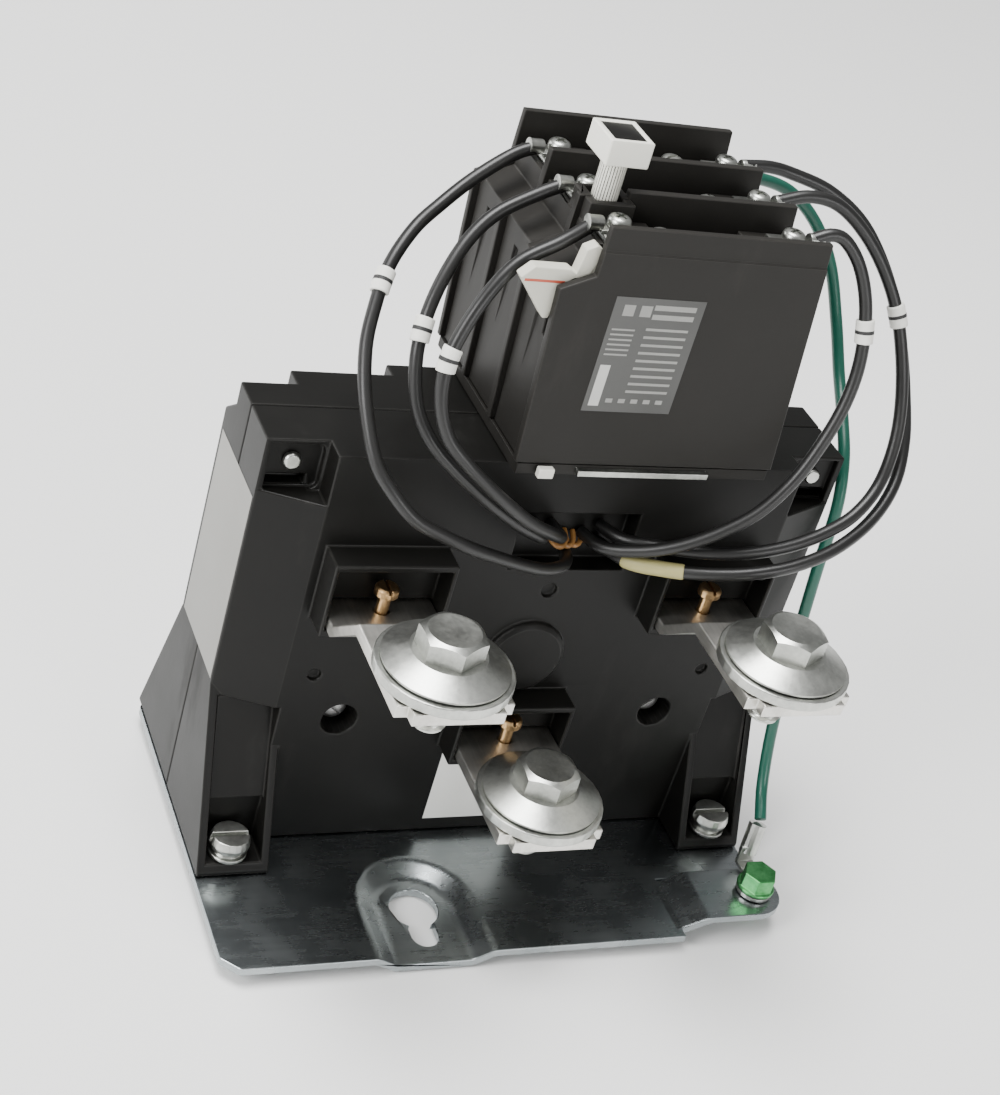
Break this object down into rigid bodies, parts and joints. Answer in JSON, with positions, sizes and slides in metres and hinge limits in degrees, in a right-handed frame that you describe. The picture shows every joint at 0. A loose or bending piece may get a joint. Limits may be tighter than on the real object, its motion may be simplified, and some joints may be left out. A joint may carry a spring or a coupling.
{
  "type": "three-pole power contactor with relay block",
  "caption": "Switching unit of a transfer switch: a contactor with bolted terminal bars on a mounting plate, and a slab relay block with reset knob and trip lever on top.",
  "frame": {"origin": "middle of the mounting plate's underside; its pressed pads reach 2.5 mm below it", "axes": "+Z out of the plate, away from the panel; -Y towards the load terminals and the keyhole; +X to the right, towards the ground tab"},
  "size_m": [0.156, 0.1264, 0.1848],
  "materials": {
    "black_insulation": "black wire insulation",
    "black_moulding": "black moulded phenolic, softly glossy",
    "brass": "plain brass",
    "bright_plating": "bright zinc and tin plating",
    "enamelled_copper": "enamelled copper wire",
    "green_finish": "green dyed plating",
    "green_insulation": "green wire insulation",
    "steel": "plain steel",
    "tan_nylon": "tan nylon",
    "white_moulding": "white moulded plastic",
    "zinc_sheet": "zinc-plated pressed steel sheet"
  },
  "bodies": {
    "base": {"coil_bobbin": "tan_nylon", "coil_winding": "enamelled_copper", "cover_screw_left": "bright_plating", "cover_screw_right": "bright_plating", "front_bolt_left": "bright_plating", "front_bolt_middle": "bright_plating", "front_bolt_right": "bright_plating", "front_housing": "black_moulding", "front_strap_left": "bright_plating", "front_strap_middle": "bright_plating", "front_strap_right": "bright_plating", "front_washer_left": "bright_plating", "front_washer_middle": "bright_plating", "front_washer_right": "bright_plating", "ground_lead": "green_insulation", "ground_ring": "bright_plating", "ground_screw": "green_finish", "lead_left_front": "black_insulation", "lead_left_middle": "black_insulation", "lead_left_rear": "black_insulation", "lead_right_front": "black_insulation", "lead_right_middle": "black_insulation", "lead_right_rear": "black_insulation", "magnet_core": "steel", "mount_screw_front_left": "bright_plating", "mount_screw_front_right": "bright_plating", "mount_screw_rear_left": "bright_plating", "mount_screw_rear_right": "bright_plating", "mounting_plate": "zinc_sheet", "rear_bolt_left": "bright_plating", "rear_bolt_middle": "bright_plating", "rear_bolt_right": "bright_plating", "rear_housing": "black_moulding", "rear_strap_left": "bright_plating", "rear_strap_middle": "bright_plating", "rear_strap_right": "bright_plating", "rear_washer_left": "bright_plating", "rear_washer_middle": "bright_plating", "rear_washer_right": "bright_plating", "relay_bracket": "black_moulding", "relay_end_cover": "black_moulding", "relay_slab_front": "black_moulding", "relay_slab_middle": "black_moulding", "relay_slab_rear": "black_moulding", "retaining_slide": "white_moulding", "strap_screw_left": "brass", "strap_screw_middle": "brass", "strap_screw_right": "brass"},
    "carrier": {"contact_carrier": "black_moulding", "armature": "steel", "return_spring_left": "steel", "return_spring_right": "steel"},
    "bridge_left": {"moving_contact_left": "brass", "contact_spring_left": "steel"},
    "bridge_middle": {"moving_contact_middle": "brass", "contact_spring_middle": "steel"},
    "bridge_right": {"moving_contact_right": "brass", "contact_spring_right": "steel"},
    "reset_knob": {"reset_knob": "white_moulding"},
    "trip_lever": {"trip_lever": "white_moulding"}
  },
  "joints": [
    {"name": "carrier_slide", "type": "slide", "parent": "base", "child": "carrier", "axis": [0, 0, -1], "range_m": [0, 0.005], "stiffness_N_per_m": 900, "springref_m": -0.01, "deforming": ["return_spring_left", "return_spring_right"]},
    {"name": "reset_slide", "type": "slide", "parent": "base", "child": "reset_knob", "axis": [0, 0, -1], "range_m": [0, 0.003], "stiffness_N_per_m": 400, "springref_m": -0.004},
    {"name": "trip_rock", "type": "hinge", "parent": "base", "child": "trip_lever", "pos_m": [-0.017, -0.021, 0.155], "axis": [0, 1, 0], "range_deg": [-8, 8], "stiffness_Nm_per_rad": 0.01},
    {"name": "bridge_left_slide", "type": "slide", "parent": "base", "child": "bridge_left", "axis": [0, 0, -1], "range_m": [0, 0.0043], "deforming": ["contact_spring_left"]},
    {"name": "bridge_middle_slide", "type": "slide", "parent": "base", "child": "bridge_middle", "axis": [0, 0, -1], "range_m": [0, 0.0043], "deforming": ["contact_spring_middle"]},
    {"name": "bridge_right_slide", "type": "slide", "parent": "base", "child": "bridge_right", "axis": [0, 0, -1], "range_m": [0, 0.0043], "deforming": ["contact_spring_right"]}
  ],
  "couplings": [
    {"joint": "bridge_left_slide", "follows": "carrier_slide", "ratio": 0.84},
    {"joint": "bridge_middle_slide", "follows": "carrier_slide", "ratio": 0.84},
    {"joint": "bridge_right_slide", "follows": "carrier_slide", "ratio": 0.84}
  ]
}
